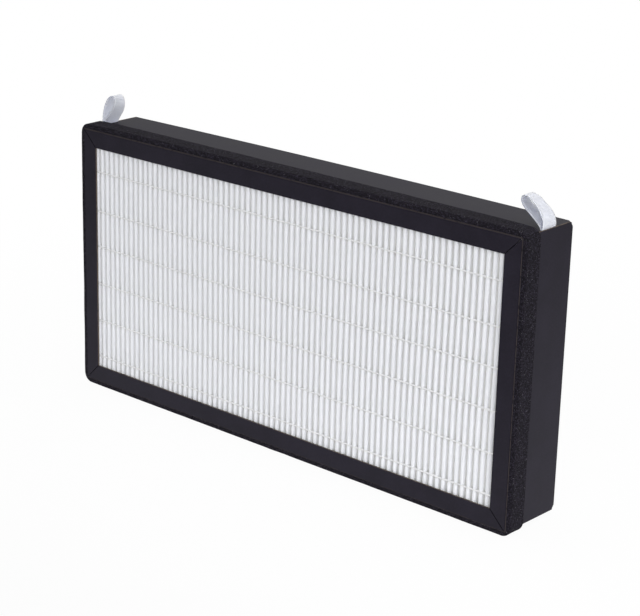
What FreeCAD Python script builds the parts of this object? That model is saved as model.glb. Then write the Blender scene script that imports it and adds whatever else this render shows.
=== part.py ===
"""Pleated air filter: a folded media pack in a black board frame, with a foam seal and two ribbon pulls.

Millimetres. X runs along the filter's length, -Y is the face that the air enters, +Z is up.
The origin is under the middle of the filter, on the surface that it stands on.
"""

import FreeCAD, Part
import math
import os

# Board frame: four U-section rails, folded from coated board and mitred at the corners
FRAME_WIDTH = 290.0
FRAME_HEIGHT = 142.7
FRAME_DEPTH = 39.5
BOARD = 0.8
FLANGE = 9.4
SCORE_HINGE = 0.3  # paper left uncut where the front fold is scored
REAR_FOLD_R = 1.2  # outside radius of the pressed rear fold
MITRE_GAP = 0.3  # measured along a rail, between two mitred flanges

# Foam seal: one strip of tape, wound round the frame behind its front edge
TAPE_WIDTH = 10.0
TAPE_THICK = 2.6
TAPE_CORNER_THICK = 1.9  # the foam is stretched thin over a corner of the frame
TAPE_SETBACK = 0.8
TAPE_BEVEL = 0.3
TAPE_BUTT_GAP = 0.6
TAPE_BUTT_X = -62.0

# Ribbon pulls: a loop at each top corner, with both tails glued inside the end rail
RIBBON_WIDTH = 10.8
RIBBON_THICK = 0.35
LEFT_RIBBON_FROM_FRONT = 12.8
RIGHT_RIBBON_FROM_FRONT = 15.6
RIBBON_TAIL = 14.0
RIBBON_TAIL_GAP = 0.1
RIBBON_FIT = 0.05
LEFT_LOOP_LENGTH = 17.0
LEFT_LOOP_WIDTH = 5.4
LEFT_LOOP_BEND = 34.0  # degrees that the loop curls over, towards the filter's middle
RIGHT_LOOP_LENGTH = 20.0
RIGHT_LOOP_WIDTH = 6.0
RIGHT_LOOP_BEND = 80.0  # degrees
LOOP_FACETS = 22

# Media: one sheet in narrow round-nosed pleats
SHEET = 0.45
PLEAT_PITCH = 3.73
PLEAT_NOSE = 2.4  # width of a pleat at the front, over both walls
BEND_FACETS = 4
EDGE_GLUE_LEAST = 2.0
SHEET_END_SHORT = 1.5  # the cut ends of the sheet stop this far from the rear noses
POTTING_COVER = 0.4

# Glue threads that hold the pleats apart
THREADS = 6
THREAD_PITCH = 21.0
THREAD_DROP = 4.3  # the set of threads sits this far below the middle
THREAD_HEIGHT = 1.6
THREAD_CROWN = 0.3  # glue in front of a pleat's nose

# Places worked out from the sizes
Y_FRONT = -FRAME_DEPTH / 2
Y_REAR = FRAME_DEPTH / 2
Y_FLANGE_FRONT = Y_FRONT + BOARD
Y_FLANGE_REAR = Y_REAR - BOARD
Y_REAR_FOLD = Y_REAR - REAR_FOLD_R
Z_BOTTOM = TAPE_THICK
Z_TOP = TAPE_THICK + FRAME_HEIGHT
Z_MIDDLE = TAPE_THICK + FRAME_HEIGHT / 2
X_INSIDE = FRAME_WIDTH / 2 - BOARD
TAILS = 2 * RIBBON_THICK + RIBBON_TAIL_GAP
Y_RIBBON = {-1: Y_FRONT + LEFT_RIBBON_FROM_FRONT, 1: Y_FRONT + RIGHT_RIBBON_FROM_FRONT}  # by the sign of X

# The pleat ends stand clear of the round inside of the rear fold
NOSE_FRONT = Y_FLANGE_FRONT + THREAD_CROWN
NOSE_REAR = Y_FLANGE_REAR - THREAD_CROWN
fold_inside = REAR_FOLD_R - BOARD
fold_reach = max(fold_inside - THREAD_CROWN, 0)
fold_drop = fold_inside - math.sqrt(fold_inside**2 - fold_reach**2)
POTTING = POTTING_COVER + fold_drop

# A pleat's two walls are nose_gap apart on their middle lines, and the next wall follows rear_gap on
nose_gap = PLEAT_NOSE - SHEET
rear_gap = PLEAT_PITCH - nose_gap
room = 2 * (X_INSIDE - EDGE_GLUE_LEAST)
PLEATS = int((room + rear_gap - SHEET) / PLEAT_PITCH)
PACK_WIDTH = PLEATS * PLEAT_PITCH - rear_gap + SHEET
EDGE_GLUE = X_INSIDE - PACK_WIDTH / 2


def v(x, y, z):
    """A point or a direction."""
    return FreeCAD.Vector(x, y, z)


def block(x0, x1, y0, y1, z0, z1):
    """A box between two corners."""
    return Part.makeBox(x1 - x0, y1 - y0, z1 - z0, v(x0, y0, z0))


def prism(points, along):
    """A closed polygon, pushed along a vector."""
    face = Part.Face(Part.makePolygon(points + [points[0]]))
    return face.extrude(along)


def quarter_arc(start, centre, end):
    """A quarter of a circle from start to end."""
    radius = (start - centre).Length
    halfway = (start - centre) + (end - centre)
    return Part.Arc(start, centre + halfway.normalize() * radius, end).toShape()


def rail_section(x):
    """The folded board seen from its end, with the web's outer face at z = 0 and both flanges hanging down.

    The front fold is scored from outside, so it opens into a small square step of bare board.
    """
    score = BOARD - SCORE_HINGE
    fold_centre = v(x, Y_REAR_FOLD, -REAR_FOLD_R)
    front = [
        v(x, Y_FLANGE_FRONT, -BOARD),
        v(x, Y_FLANGE_FRONT, -FLANGE),
        v(x, Y_FRONT, -FLANGE),
        v(x, Y_FRONT, -score),
        v(x, Y_FRONT + score, -score),
        v(x, Y_FRONT + score, 0),
        v(x, Y_REAR_FOLD, 0),
    ]
    rear = [
        v(x, Y_REAR, -REAR_FOLD_R),
        v(x, Y_REAR, -FLANGE),
        v(x, Y_FLANGE_REAR, -FLANGE),
        v(x, Y_FLANGE_REAR, -REAR_FOLD_R),
    ]
    web_end = v(x, Y_REAR_FOLD, -BOARD)
    edges = Part.makePolygon(front).Edges
    edges.append(quarter_arc(front[-1], fold_centre, rear[0]))
    edges += Part.makePolygon(rear).Edges
    edges.append(quarter_arc(rear[-1], fold_centre, web_end))
    edges += Part.makePolygon([web_end, front[0]]).Edges
    return Part.Face(Part.Wire(edges))


def rail(length, covers_corner):
    """One rail along X, middle at x = 0, outer face at z = 0.

    Its flanges and folds are mitred. Its web covers the neighbours' ends, or butts against them.
    """
    half = length / 2
    folded = rail_section(-half).extrude(v(length, 0, 0))
    stand_back = MITRE_GAP / 2
    deep = FLANGE + BOARD
    mitre = prism(
        [
            v(-half + stand_back, Y_FRONT, 0),
            v(half - stand_back, Y_FRONT, 0),
            v(half - stand_back - deep, Y_FRONT, -deep),
            v(-half + stand_back + deep, Y_FRONT, -deep),
        ],
        v(0, FRAME_DEPTH, 0),
    )
    folded = folded.common(mitre)
    if covers_corner:
        web = block(-half, half, Y_FLANGE_FRONT, Y_REAR_FOLD, -BOARD, 0)
        return folded.fuse(web).removeSplitter()
    for side in (-1, 1):
        near, far = sorted((side * (half - BOARD), side * half))
        folded = folded.cut(block(near, far, Y_FLANGE_FRONT, Y_REAR_FOLD, -BOARD, 0))
    return folded


def seat(shape, reach, turn):
    """Carry a piece from the rail's own place to its side of the frame, turned about the Y axis."""
    shape.translate(v(0, 0, reach))
    shape.rotate(v(0, 0, 0), v(0, 1, 0), turn)
    shape.translate(v(0, 0, Z_MIDDLE))
    return shape


def make_rails():
    """The four rails. The two end rails cover the ends of the long ones."""
    top = rail(FRAME_WIDTH, covers_corner=False)
    slot_end = X_INSIDE - TAILS - RIBBON_FIT
    for side in (-1, 1):
        near, far = sorted((side * slot_end, side * X_INSIDE))
        slot = block(
            near,
            far,
            Y_RIBBON[side] - RIBBON_FIT,
            Y_RIBBON[side] + RIBBON_WIDTH + RIBBON_FIT,
            -BOARD,
            0,
        )
        top = top.cut(slot)
    half_height = FRAME_HEIGHT / 2
    half_width = FRAME_WIDTH / 2
    return {
        "top_rail": seat(top, half_height, 0),
        "bottom_rail": seat(rail(FRAME_WIDTH, False), half_height, 180),
        "right_rail": seat(rail(FRAME_HEIGHT, True), half_width, 90),
        "left_rail": seat(rail(FRAME_HEIGHT, True), half_width, -90),
    }


def round_cornered(width, height, radius, y, depth):
    """A slab across the filter with four round corners, from y for its depth."""
    a, b = width / 2, height / 2
    edges = []
    corners = [(1, 1), (-1, 1), (-1, -1), (1, -1)]
    for i, (sx, sz) in enumerate(corners):
        centre = v(sx * (a - radius), y, Z_MIDDLE + sz * (b - radius))
        on_side = centre + v(sx * radius, 0, 0)
        on_long = centre + v(0, 0, sz * radius)
        start, end = (on_side, on_long) if sx == sz else (on_long, on_side)
        if edges:
            edges.append(Part.makeLine(last, start))
        else:
            first = start
        edges.append(quarter_arc(start, centre, end))
        last = end
    edges.append(Part.makeLine(last, first))
    return Part.Face(Part.Wire(edges)).extrude(v(0, depth, 0))


def make_foam_tape():
    """The foam strip, laid on edge round all four sides, with its two ends meeting under the filter."""
    start = Y_FRONT + TAPE_SETBACK
    root2 = math.sqrt(2)
    corner = (TAPE_THICK * root2 - TAPE_CORNER_THICK) / (root2 - 1)
    outside = round_cornered(
        FRAME_WIDTH + 2 * TAPE_THICK,
        FRAME_HEIGHT + 2 * TAPE_THICK,
        corner,
        start,
        TAPE_WIDTH,
    )
    limit = 0.8 * TAPE_CORNER_THICK
    rims = [e for e in outside.Edges if e.BoundBox.YLength < TAPE_WIDTH / 2]
    outside = outside.makeChamfer(min(TAPE_BEVEL, limit), rims)
    frame = block(
        -FRAME_WIDTH / 2,
        FRAME_WIDTH / 2,
        start,
        start + TAPE_WIDTH,
        Z_BOTTOM,
        Z_TOP,
    )
    butt = block(
        TAPE_BUTT_X - TAPE_BUTT_GAP / 2,
        TAPE_BUTT_X + TAPE_BUTT_GAP / 2,
        start,
        start + TAPE_WIDTH,
        0,
        Z_BOTTOM,
    )
    return outside.cut(frame).cut(butt)


def loop_points(length, width, bend, offset):
    """Points of one face of a loop's ribbon, from the outer tail over the loop to the inner one.

    u runs from 0 to 1. The loop is a drop shape about an axis that curls over by bend.
    The face lies offset from the ribbon's middle line, away from the loop when it is positive.
    """
    half_tail = (RIBBON_THICK + RIBBON_TAIL_GAP) / 2
    swell = width / 2 / 0.77  # 0.77 is the peak of sin(2 pi u) sin(pi u)

    def middle(u):
        along = length * math.sin(math.pi * u)
        across = half_tail * math.cos(math.pi * u)
        across += swell * math.sin(2 * math.pi * u) * math.sin(math.pi * u)
        turn = math.radians(bend) * along / length
        run = length / math.radians(bend)
        x = -run * (1 - math.cos(turn)) + across * math.cos(turn)
        z = run * math.sin(turn) + across * math.sin(turn)
        return x, z

    points = []
    for i in range(LOOP_FACETS + 1):
        u = i / LOOP_FACETS
        x, z = middle(u)
        before = middle(u - 0.001)
        after = middle(u + 0.001)
        dx, dz = after[0] - before[0], after[1] - before[1]
        if i in (0, LOOP_FACETS):
            dx, dz = 0, (1 if i == 0 else -1)
        size = math.hypot(dx, dz)
        points.append(v(x + offset * dz / size, 0, z - offset * dx / size))
    return points


def make_ribbon(length, width, bend, side):
    """One ribbon pull. side is 1 at the right end and -1 at the left."""
    down = v(0, 0, -RIBBON_TAIL)
    outer = loop_points(length, width, bend, RIBBON_THICK / 2)
    inner = loop_points(length, width, bend, -RIBBON_THICK / 2)
    outline = [outer[0] + down] + outer + [outer[-1] + down]
    outline += [inner[-1] + down] + inner[::-1] + [inner[0] + down]
    ribbon = prism(outline, v(0, RIBBON_WIDTH, 0))
    ribbon.translate(v(X_INSIDE - TAILS / 2, Y_RIBBON[side], Z_TOP))
    if side < 0:
        ribbon = ribbon.mirror(v(0, 0, 0), v(1, 0, 0))
    return ribbon


def bend_points(x, y, radius, faces):
    """Points round a half-circle bend, left to right. faces is -1 for a nose at the front, 1 at the rear."""
    points = []
    for i in range(BEND_FACETS + 1):
        angle = math.pi * (1 - i / BEND_FACETS)
        points.append(v(x + radius * math.cos(angle), y + faces * radius * math.sin(angle), 0))
    return points


def make_media():
    """The pleated sheet. Its two cut ends lie at the rear, against the glue at each end."""
    base = Z_BOTTOM + BOARD + POTTING
    height = FRAME_HEIGHT - 2 * (BOARD + POTTING)
    left = -PACK_WIDTH / 2 + SHEET / 2
    ends_at = NOSE_REAR - SHEET_END_SHORT
    upper = [v(left - SHEET / 2, ends_at, 0)]
    lower = [v(left + SHEET / 2, ends_at, 0)]
    front_r = (nose_gap + SHEET) / 2
    rear_r = (rear_gap + SHEET) / 2
    for i in range(PLEATS):
        x = left + i * PLEAT_PITCH + nose_gap / 2
        y = NOSE_FRONT + front_r
        upper += bend_points(x, y, front_r, -1)
        lower += bend_points(x, y, front_r - SHEET, -1)
        if i < PLEATS - 1:
            x += PLEAT_PITCH / 2
            y = NOSE_REAR - rear_r
            upper += bend_points(x, y, rear_r - SHEET, 1)
            lower += bend_points(x, y, rear_r, 1)
    right = -left
    upper.append(v(right + SHEET / 2, ends_at, 0))
    lower.append(v(right - SHEET / 2, ends_at, 0))
    sheet = prism(upper + lower[::-1], v(0, 0, height))
    sheet.translate(v(0, 0, base))
    return sheet


def make_glue_thread(z, first_nose, noses, nose_y, faces):
    """A glue thread across the noses of the pleats, sagging into each valley between them.

    It leaves a nose at the slope of that nose's first facet, so it lies flat on the sheet.
    """
    slope = math.tan(math.pi / 2 / BEND_FACETS)
    sag = PLEAT_PITCH / 2 * slope
    end = PACK_WIDTH / 2
    end_sag = (first_nose + end) * slope
    outline = [
        v(-end, nose_y + faces * THREAD_CROWN, z),
        v(end, nose_y + faces * THREAD_CROWN, z),
        v(end, nose_y - faces * end_sag, z),
    ]
    for i in reversed(range(noses)):
        x = first_nose + i * PLEAT_PITCH
        outline.append(v(x, nose_y, z))
        if i:
            outline.append(v(x - PLEAT_PITCH / 2, nose_y - faces * sag, z))
    outline.append(v(-end, nose_y - faces * end_sag, z))
    thread = prism(outline, v(0, 0, THREAD_HEIGHT))
    thread.translate(v(0, 0, -THREAD_HEIGHT / 2))
    return thread


def make_glue_threads():
    """The threads on both faces of the pack, numbered from the bottom."""
    pieces = {}
    first_front = -PACK_WIDTH / 2 + PLEAT_NOSE / 2
    lowest = Z_MIDDLE - THREAD_DROP - (THREADS - 1) / 2 * THREAD_PITCH
    for i in range(THREADS):
        z = lowest + i * THREAD_PITCH
        pieces[f"front_glue_thread_{i + 1}"] = make_glue_thread(z, first_front, PLEATS, NOSE_FRONT, -1)
        first_rear = first_front + PLEAT_PITCH / 2
        pieces[f"rear_glue_thread_{i + 1}"] = make_glue_thread(z, first_rear, PLEATS - 1, NOSE_REAR, 1)
    return pieces


def make_bedding():
    """The glue that beds the pack in the frame: a layer along each long rail and one down each end."""
    z0, z1 = Z_BOTTOM + BOARD, Z_TOP - BOARD
    x0, x1 = -PACK_WIDTH / 2, PACK_WIDTH / 2
    pieces = {
        "bottom_potting": block(x0, x1, Y_FLANGE_FRONT, Y_REAR_FOLD, z0, z0 + POTTING),
        "top_potting": block(x0, x1, Y_FLANGE_FRONT, Y_REAR_FOLD, z1 - POTTING, z1),
    }
    for name, side in (("left_end_glue", -1), ("right_end_glue", 1)):
        near, far = sorted((side * (X_INSIDE - EDGE_GLUE), side * X_INSIDE))
        layer = block(near, far, Y_FLANGE_FRONT, Y_REAR_FOLD, z0, z1)
        near, far = sorted((side * (X_INSIDE - TAILS), side * X_INSIDE))
        pocket = block(
            near,
            far,
            Y_RIBBON[side],
            Y_RIBBON[side] + RIBBON_WIDTH,
            Z_TOP - RIBBON_TAIL,
            z1,
        )
        pieces[name] = layer.cut(pocket)
    return pieces


def make_all():
    """Every piece of the filter, by name."""
    pieces = make_rails()
    pieces["foam_seal_tape"] = make_foam_tape()
    pieces["left_pull_ribbon"] = make_ribbon(LEFT_LOOP_LENGTH, LEFT_LOOP_WIDTH, LEFT_LOOP_BEND, -1)
    pieces["right_pull_ribbon"] = make_ribbon(RIGHT_LOOP_LENGTH, RIGHT_LOOP_WIDTH, RIGHT_LOOP_BEND, 1)
    pieces["pleated_media"] = make_media()
    pieces.update(make_glue_threads())
    pieces.update(make_bedding())
    return pieces


os.makedirs("parts", exist_ok=True)
for name, piece in make_all().items():
    piece.exportStep(f"parts/{name}.step")
    print(name, "solids", len(piece.Solids), "valid", piece.isValid(), "volume", round(piece.Volume, 1))
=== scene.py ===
"""Looks of a pleated air filter that stands on its long edge: board, foam, ribbon, media and glue.

Metres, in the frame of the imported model. X runs along the filter, -Y is its front and +Z is up.
"""

from __future__ import annotations

import logging
import math
from collections.abc import Sequence
from dataclasses import dataclass, field
from enum import Enum

import bmesh
import bpy
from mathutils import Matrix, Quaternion, Vector, noise

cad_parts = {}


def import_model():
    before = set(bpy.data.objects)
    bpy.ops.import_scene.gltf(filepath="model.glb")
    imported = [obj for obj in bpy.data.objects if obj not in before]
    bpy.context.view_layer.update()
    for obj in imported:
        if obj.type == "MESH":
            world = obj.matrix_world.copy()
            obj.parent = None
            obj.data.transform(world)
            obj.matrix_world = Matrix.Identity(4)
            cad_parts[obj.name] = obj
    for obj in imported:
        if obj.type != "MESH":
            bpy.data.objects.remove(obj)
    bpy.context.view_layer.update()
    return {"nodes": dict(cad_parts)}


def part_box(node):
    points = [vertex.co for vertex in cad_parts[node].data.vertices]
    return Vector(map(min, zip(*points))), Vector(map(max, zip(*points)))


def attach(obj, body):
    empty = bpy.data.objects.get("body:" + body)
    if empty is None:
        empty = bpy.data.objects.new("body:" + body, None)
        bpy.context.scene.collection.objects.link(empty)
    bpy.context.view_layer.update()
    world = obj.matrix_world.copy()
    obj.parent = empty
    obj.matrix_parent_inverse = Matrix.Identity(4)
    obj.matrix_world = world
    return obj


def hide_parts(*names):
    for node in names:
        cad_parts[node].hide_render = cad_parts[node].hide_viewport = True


MM = 0.001
BODY = "root"
CURVE_STEPS = 16  # between two given points of a ribbon's edge
LOG = logging.getLogger("air_filter")

Colour = tuple[float, float, float, float]
Pair = tuple[float, float]
Value = float | int | Sequence[float] | bpy.types.NodeSocket


class Face(Enum):
    """A face of the filter, as the sign of Y that points out of it."""

    FRONT = -1
    REAR = 1


class Side(Enum):
    """An end of the filter, as the sign of X that points out of it."""

    LEFT = -1
    RIGHT = 1


class Slot(Enum):
    """The material slots."""

    BOARD = "coated_board"
    FOAM = "black_foam"
    RIBBON = "satin_ribbon"
    SHEET = "filter_sheet"
    GLUE = "hot_melt_glue"


def hand_over(piece: bpy.types.Object, slot: Slot, *nodes: str) -> None:
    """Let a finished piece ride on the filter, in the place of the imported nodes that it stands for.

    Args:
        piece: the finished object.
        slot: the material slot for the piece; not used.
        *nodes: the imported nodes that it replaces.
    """
    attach(piece, BODY)
    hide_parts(*nodes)
    LOG.info("%s: %d faces, for %s", piece.name, len(piece.data.polygons), ", ".join(nodes))


def object_from(name: str, mesh: bpy.types.Mesh) -> bpy.types.Object:
    """Put a mesh into the scene as an object at the origin.

    Args:
        name: the piece's name.
        mesh: its mesh, in the filter's frame.

    Returns:
        The new object.
    """
    mesh.name = name
    piece = bpy.data.objects.new(name, mesh)
    bpy.context.scene.collection.objects.link(piece)
    return piece


def smooth_step(low: float, high: float, value: float) -> float:
    """0 below low, 1 above high and a smooth rise between them."""
    share = min(1.0, max(0.0, (value - low) / (high - low)))
    return share * share * (3 - 2 * share)


class NodeMaker:
    """Short calls for the nodes of a material, the world or a geometry group in the making."""

    def __init__(self, tree: bpy.types.NodeTree) -> None:
        """Work on a node tree.

        Args:
            tree: the tree that the nodes go into.
        """
        self.nodes = tree.nodes
        self.links = tree.links

    def feed(self, socket: bpy.types.NodeSocket, value: Value) -> None:
        """Set an input to a value, or link it to another node's output."""
        if isinstance(value, bpy.types.NodeSocket):
            self.links.new(value, socket)
        else:
            socket.default_value = value

    def node(self, kind: str, output: str | int = 0, **inputs: Value) -> bpy.types.NodeSocket:
        """Add a node and set its inputs.

        Args:
            kind: the node's type.
            output: the output that is wanted.
            **inputs: values or links for its inputs, with _ for a space in a name.

        Returns:
            The wanted output.
        """
        made = self.nodes.new(kind)
        for name, value in inputs.items():
            self.feed(made.inputs[name.replace("_", " ")], value)
        return made.outputs[output]

    def calc(self, operation: str, *values: Value) -> bpy.types.NodeSocket:
        """A sum, product or other operation on numbers."""
        made = self.nodes.new("ShaderNodeMath")
        made.operation = operation
        for socket, value in zip(made.inputs, values):
            self.feed(socket, value)
        return made.outputs[0]

    def add(self, *values: Value) -> bpy.types.NodeSocket:
        """The sum of several numbers."""
        total = values[0]
        for value in values[1:]:
            total = self.calc("ADD", total, value)
        return total

    def times(self, *values: Value) -> bpy.types.NodeSocket:
        """The product of several numbers."""
        total = values[0]
        for value in values[1:]:
            total = self.calc("MULTIPLY", total, value)
        return total

    def rise(self, value: Value, low: Value, high: Value) -> bpy.types.NodeSocket:
        """0 at low, 1 at high and a smooth rise between them; low may be the larger."""
        made = self.nodes.new("ShaderNodeMapRange")
        made.interpolation_type = "SMOOTHSTEP"
        self.feed(made.inputs["Value"], value)
        self.feed(made.inputs["From Min"], low)
        self.feed(made.inputs["From Max"], high)
        return made.outputs["Result"]


class Shader(NodeMaker):
    """A material in the making, with short calls for what the finishes share."""

    def __init__(self, name: str) -> None:
        """Start a material with a plain surface shader.

        Args:
            name: the material's name.
        """
        self.material = bpy.data.materials.new(name)
        self.material.use_nodes = True
        super().__init__(self.material.node_tree)
        self.surface = self.nodes["Principled BSDF"]
        self.place = self.nodes.new("ShaderNodeTexCoord").outputs["Object"]

    def axis(self, name: str) -> bpy.types.NodeSocket:
        """X, Y or Z of a point of the surface, in the filter's frame."""
        return self.node("ShaderNodeSeparateXYZ", name, Vector=self.place)

    def grain(self, scale: float, detail: float) -> bpy.types.NodeSocket:
        """Soft noise from 0 to 1 with scale waves to a metre."""
        return self.node("ShaderNodeTexNoise", 0, Vector=self.place, Scale=scale, Detail=detail)

    def cells(self, scale: float, feature: str = "DISTANCE_TO_EDGE") -> bpy.types.NodeSocket:
        """Distances in a pattern of scale cells to a metre."""
        made = self.nodes.new("ShaderNodeTexVoronoi")
        made.feature = feature
        self.feed(made.inputs["Vector"], self.place)
        made.inputs["Scale"].default_value = scale
        return made.outputs["Distance"]

    def between(self, share: Value, first: Value, second: Value, blend: str = "MIX") -> bpy.types.NodeSocket:
        """A colour between two colours, or the first one blended with the second."""
        made = self.nodes.new("ShaderNodeMix")
        made.data_type = "RGBA"
        made.blend_type = blend
        self.feed(made.inputs["Factor"], share)
        self.feed(made.inputs[6], first)
        self.feed(made.inputs[7], second)
        return made.outputs[2]

    def relief(self, height: Value, depth: float, under: Value | None = None) -> bpy.types.NodeSocket:
        """A bumped normal.

        Args:
            height: the relief, from 0 to 1.
            depth: how deep it is, in metres.
            under: the normal that it is laid on.

        Returns:
            The normal.
        """
        made = self.nodes.new("ShaderNodeBump")
        made.inputs["Distance"].default_value = depth
        self.feed(made.inputs["Height"], height)
        if under is not None:
            self.feed(made.inputs["Normal"], under)
        return made.outputs[0]

    def finish(
        self,
        colour: Value,
        roughness: Value,
        normal: Value | None = None,
        **others: Value,
    ) -> bpy.types.Material:
        """Set the surface shader.

        Args:
            colour: its colour.
            roughness: its roughness.
            normal: its bumped normal.
            **others: more inputs of the surface shader.

        Returns:
            The finished material.
        """
        self.feed(self.surface.inputs["Base Color"], colour)
        self.feed(self.surface.inputs["Roughness"], roughness)
        if normal is not None:
            self.feed(self.surface.inputs["Normal"], normal)
        for name, value in others.items():
            self.feed(self.surface.inputs[name.replace("_", " ")], value)
        return self.material


@dataclass(frozen=True)
class CoatedBoard:
    """Matt black coated board with a faint paper grain and painted shade: a dark line along the mitres."""

    places: Places
    dark: Colour = (0.0105, 0.0088, 0.0152, 1)
    pale: Colour = (0.0158, 0.0134, 0.0225, 1)
    roughness: float = 0.5
    shine: float = 0.13
    # painted shade: the near-black colour of the line along the mitres, for the shadow in the joints' gaps
    line: Colour = (0.001, 0.001, 0.001, 1)
    fibre: float = 0.02 * MM
    wave: float = 0.1 * MM
    # width of the painted mitre shade, and how far behind the front it reaches
    mitre_shade_width: float = 0.36 * MM
    mitre_shade_depth: float = 0.3 * MM

    def mitre_shade(self, s: Shader) -> bpy.types.NodeSocket:
        """1 along the mitres of the front flanges, where a line of shade is painted, and 0 elsewhere.

        Args:
            s: the material in the making.

        Returns:
            The socket.
        """
        p = self.places
        x, y, z = s.axis("X"), s.axis("Y"), s.axis("Z")
        across = s.calc("MINIMUM", s.calc("SUBTRACT", x, p.left), s.calc("SUBTRACT", p.right, x))
        up = s.calc("MINIMUM", s.calc("SUBTRACT", z, p.bottom), s.calc("SUBTRACT", p.top, z))
        apart = s.calc("ABSOLUTE", s.calc("SUBTRACT", across, up))
        in_front = s.rise(y, p.front + self.mitre_shade_depth, p.front + self.mitre_shade_depth / 3)
        return s.times(in_front, s.rise(apart, self.mitre_shade_width, self.mitre_shade_width / 2))

    def material(self) -> bpy.types.Material:
        """The board's coated face."""
        s = Shader("coated_board")
        line = self.mitre_shade(s)
        cloud = s.grain(55, 3)
        speckle = s.grain(1600, 3)
        mottle = s.add(s.times(cloud, 0.55), s.times(speckle, 0.45))
        share = s.rise(mottle, 0.34, 0.68)
        rough = s.add(s.times(cloud, 0.1), self.roughness - 0.05)
        fibres = s.relief(s.grain(2400, 4), self.fibre)
        waves = s.relief(s.grain(38, 1), self.wave, fibres)
        # painted shade: the mitre line is near-black and has no shine
        colour = s.between(line, s.between(share, self.dark, self.pale), self.line)
        shine = s.times(s.calc("SUBTRACT", 1.0, line), self.shine)
        return s.finish(colour, rough, waves, Specular_IOR_Level=shine)


@dataclass(frozen=True)
class CutBoard:
    """The pale paper core that shows where the board is cut or scored."""

    core: Colour = (0.125, 0.097, 0.078, 1)
    soiled: Colour = (0.06, 0.05, 0.045, 1)
    roughness: float = 0.85
    fibre: float = 0.05 * MM

    def material(self) -> bpy.types.Material:
        """The board's cut edge, with plies and the coating's dust on it."""
        s = Shader("cut_board")
        patches = s.rise(s.grain(420, 3), 0.52, 0.66)
        return s.finish(
            s.between(patches, self.core, self.soiled),
            self.roughness,
            s.relief(s.grain(3000, 3), self.fibre),
            Specular_IOR_Level=0.2,
        )


@dataclass(frozen=True)
class OpenCellFoam:
    """Black open-cell foam: pores painted dark as shade, paler cell walls and a few painted glints as bright
    specks.
    """

    # painted shade: the colour of the pores, for the shade inside the open cells
    pore_shade: Colour = (0.0045, 0.004, 0.006, 1)
    wall: Colour = (0.058, 0.05, 0.074, 1)
    # painted highlight: the glints' colour
    glint_colour: Colour = (0.34, 0.33, 0.36, 1)
    cells_per_metre: float = 2100
    glints_per_metre: float = 1500
    roughness: float = 0.9
    pore_depth: float = 0.25 * MM
    uneven_depth: float = 0.2 * MM

    def material(self) -> bpy.types.Material:
        """The foam's skin, with painted shade in its pores and painted glints."""
        s = Shader("open_cell_foam")
        wall = s.rise(s.cells(self.cells_per_metre), 0.16, 0.02)
        uneven = s.rise(s.grain(1500, 3), 0.4, 0.6)
        share = s.times(wall, s.add(s.times(uneven, 0.75), 0.25))
        body = s.between(share, self.pore_shade, self.wall)
        # painted glints, near the middles of some cells
        near_middle = s.rise(s.cells(self.glints_per_metre, "F1"), 0.2, 0.1)
        glint = s.times(near_middle, s.rise(s.grain(640, 1), 0.58, 0.63))
        pores = s.relief(wall, self.pore_depth)
        return s.finish(
            s.between(glint, body, self.glint_colour),
            self.roughness,
            s.relief(s.grain(1300, 2), self.uneven_depth, pores),
            Specular_IOR_Level=0.12,
        )


@dataclass(frozen=True)
class WovenRibbon:
    """White ribbon with fine ribs across it and a woven edge."""

    thread: Colour = (0.755, 0.79, 0.93, 1)
    groove: Colour = (0.625, 0.66, 0.85, 1)
    rim: Colour = (0.34, 0.36, 0.43, 1)
    slant: float = 0.3
    rib_pitch: float = 0.72 * MM
    warp_pitch: float = 0.3 * MM
    selvedge: float = 0.55 * MM
    rim_from: float = 0.12 * MM
    rim_to: float = 0.02 * MM
    weave_depth: float = 0.04 * MM
    roughness: float = 0.5
    width: float = 10.8 * MM

    def material(self) -> bpy.types.Material:
        """The ribbon's weave, which follows its UV map in metres across and along."""
        s = Shader("woven_ribbon")
        uv = s.nodes.new("ShaderNodeUVMap")
        uv.uv_map = "weave"
        split = s.nodes.new("ShaderNodeSeparateXYZ")
        s.feed(split.inputs[0], uv.outputs[0])
        across, along = split.outputs[0], split.outputs[1]
        slanted = s.add(along, s.times(across, self.slant))
        rib = s.calc("ABSOLUTE", s.calc("SINE", s.times(slanted, math.pi / self.rib_pitch)))
        warp = s.calc("ABSOLUTE", s.calc("SINE", s.times(across, math.pi / self.warp_pitch)))
        off_middle = s.calc("ABSOLUTE", s.calc("SUBTRACT", across, self.width / 2))
        edge = s.rise(off_middle, self.width / 2 - self.selvedge, self.width / 2 - self.selvedge * 0.7)
        height = s.add(s.times(rib, 0.75), s.times(warp, 0.25), s.times(edge, 0.5))
        face = s.between(s.rise(rib, 0.0, 0.6), self.groove, self.thread)
        on_rim = s.rise(off_middle, self.width / 2 - self.rim_from, self.width / 2 - self.rim_to)
        return s.finish(
            s.between(on_rim, face, self.rim),
            self.roughness,
            s.relief(height, self.weave_depth),
            Sheen_Weight=0.3,
            Sheen_Roughness=0.5,
            Specular_IOR_Level=0.3,
            Subsurface_Weight=0.95,
            Subsurface_Scale=2.4 * MM,
            Subsurface_Radius=(1.0, 1.0, 1.0),
        )


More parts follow.
